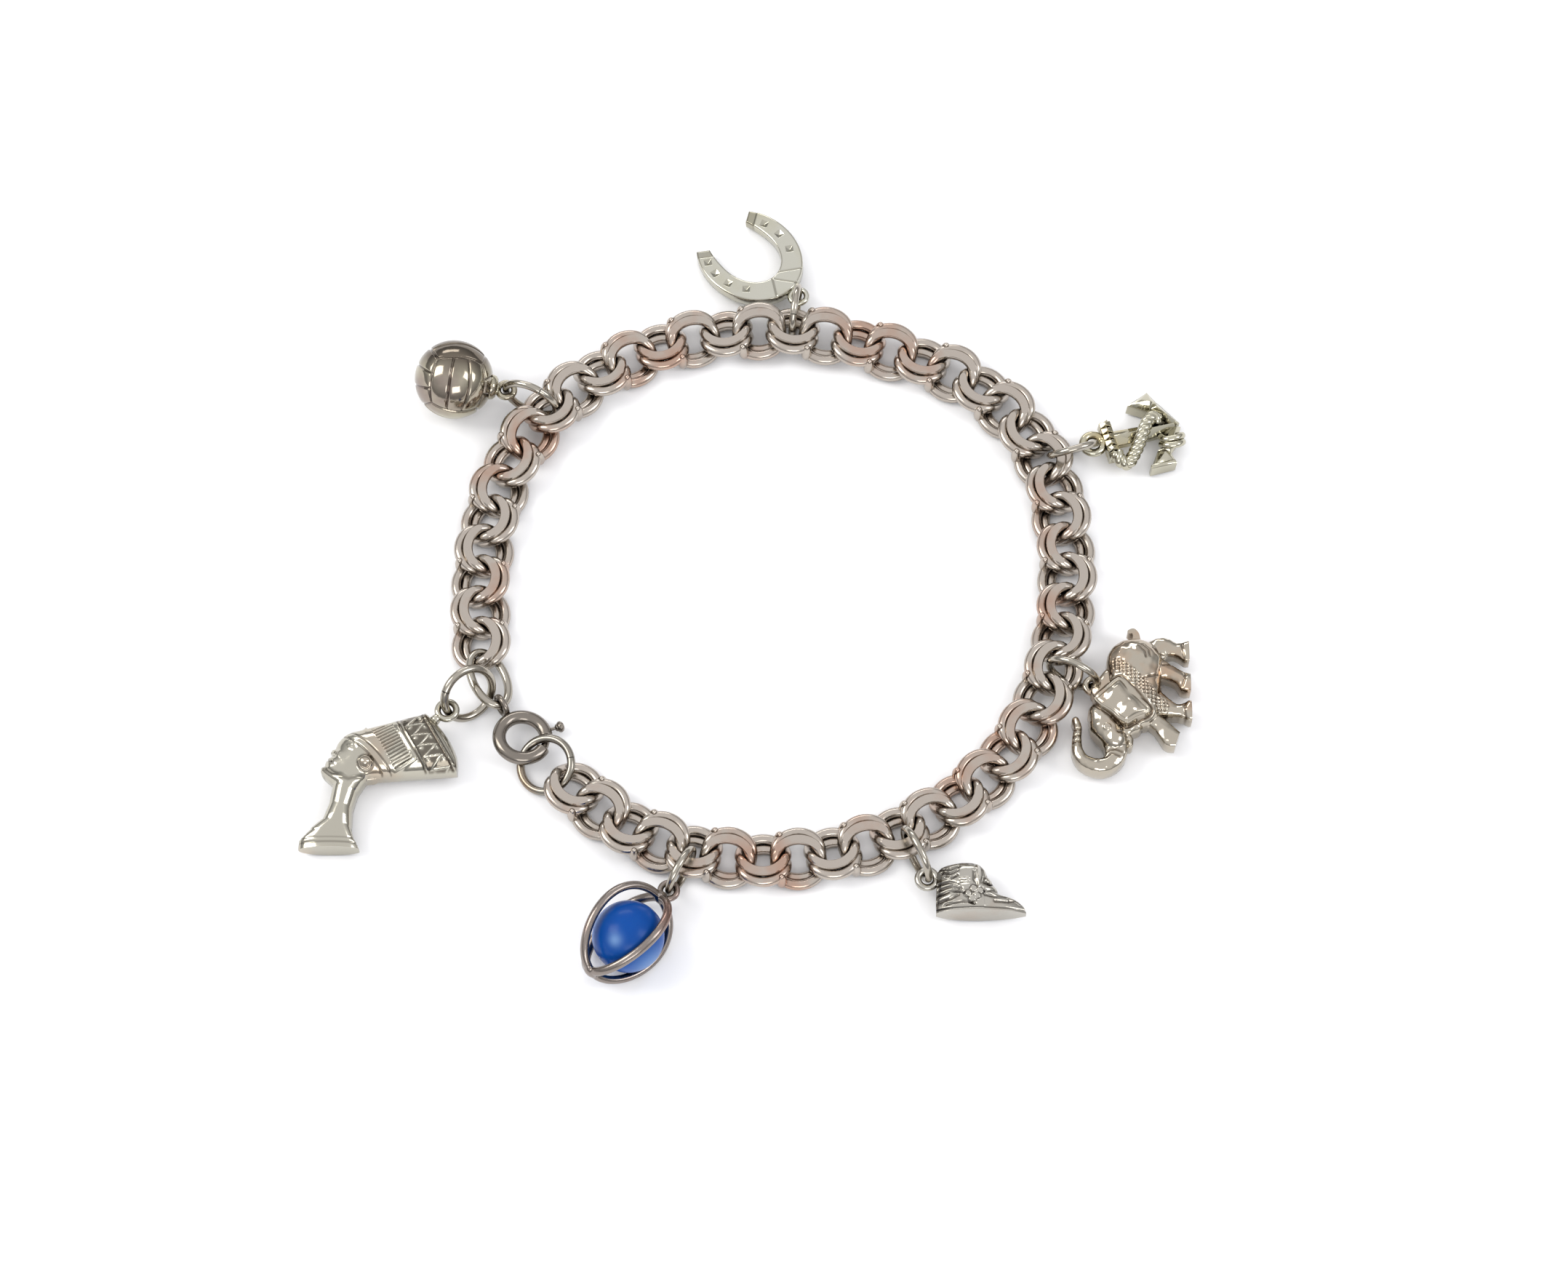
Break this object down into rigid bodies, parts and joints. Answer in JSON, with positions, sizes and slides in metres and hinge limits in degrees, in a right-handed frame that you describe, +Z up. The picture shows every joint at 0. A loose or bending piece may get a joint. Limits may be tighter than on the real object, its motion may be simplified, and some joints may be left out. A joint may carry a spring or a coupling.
{
  "type": "charm bracelet",
  "caption": "Silver charm bracelet of soldered double links, fastened by a spring-ring clasp, with charms hung on jump rings, lying flat in a loop.",
  "frame": {"origin": "middle of the whole bracelet's box, on the table it lies on", "axes": "+Z up from the table, +X towards the elephant, +Y towards the horseshoe, away from the clasp and the caged ball"},
  "size_m": [0.0906, 0.0888, 0.0083],
  "materials": {
    "polished_silver": "worn polished silver",
    "antiqued_silver": "polished silver, tarnished in the hollows",
    "dark_silver": "tarnished silver",
    "pale_silver": "satin pale silver",
    "blue_glass": "clear deep blue glass"
  },
  "bodies": {
    "bracelet": {"link_01": "polished_silver", "link_02": "polished_silver", "link_03": "polished_silver", "link_04": "polished_silver", "link_05": "polished_silver", "link_06": "polished_silver", "link_07": "polished_silver", "link_08": "polished_silver", "link_09": "polished_silver", "link_10": "polished_silver", "link_11": "polished_silver", "link_12": "polished_silver", "link_13": "polished_silver", "link_14": "polished_silver", "link_15": "polished_silver", "link_16": "polished_silver", "link_17": "polished_silver", "link_18": "polished_silver", "link_19": "polished_silver", "link_20": "polished_silver", "link_21": "polished_silver", "link_22": "polished_silver", "link_23": "polished_silver", "link_24": "polished_silver", "link_25": "polished_silver", "ball_jump_ring": "polished_silver", "bootee_jump_ring": "polished_silver", "elephant_jump_ring": "polished_silver", "anchor_jump_ring": "polished_silver", "horseshoe_jump_ring": "polished_silver", "volleyball_jump_ring": "polished_silver", "head_jump_ring": "polished_silver", "end_ring": "polished_silver", "clasp_jump_ring": "polished_silver", "clasp_ring": "polished_silver", "anchor": "antiqued_silver", "elephant": "antiqued_silver", "queen_head": "antiqued_silver", "bootee": "dark_silver", "volleyball": "dark_silver", "ball_cage": "dark_silver", "horseshoe": "pale_silver", "glass_ball": "blue_glass"},
    "clasp_bolt": {"clasp_bolt": "polished_silver"}
  },
  "joints": [
    {"name": "clasp_bolt_pull", "type": "hinge", "parent": "bracelet", "child": "clasp_bolt", "pos_m": [-0.02304, -0.01765, 0.00166], "axis": [0.1343, 0.1066, 0.9852], "range_deg": [0, 38], "stiffness_Nm_per_rad": 0.003, "springref_deg": -17.19}
  ]
}
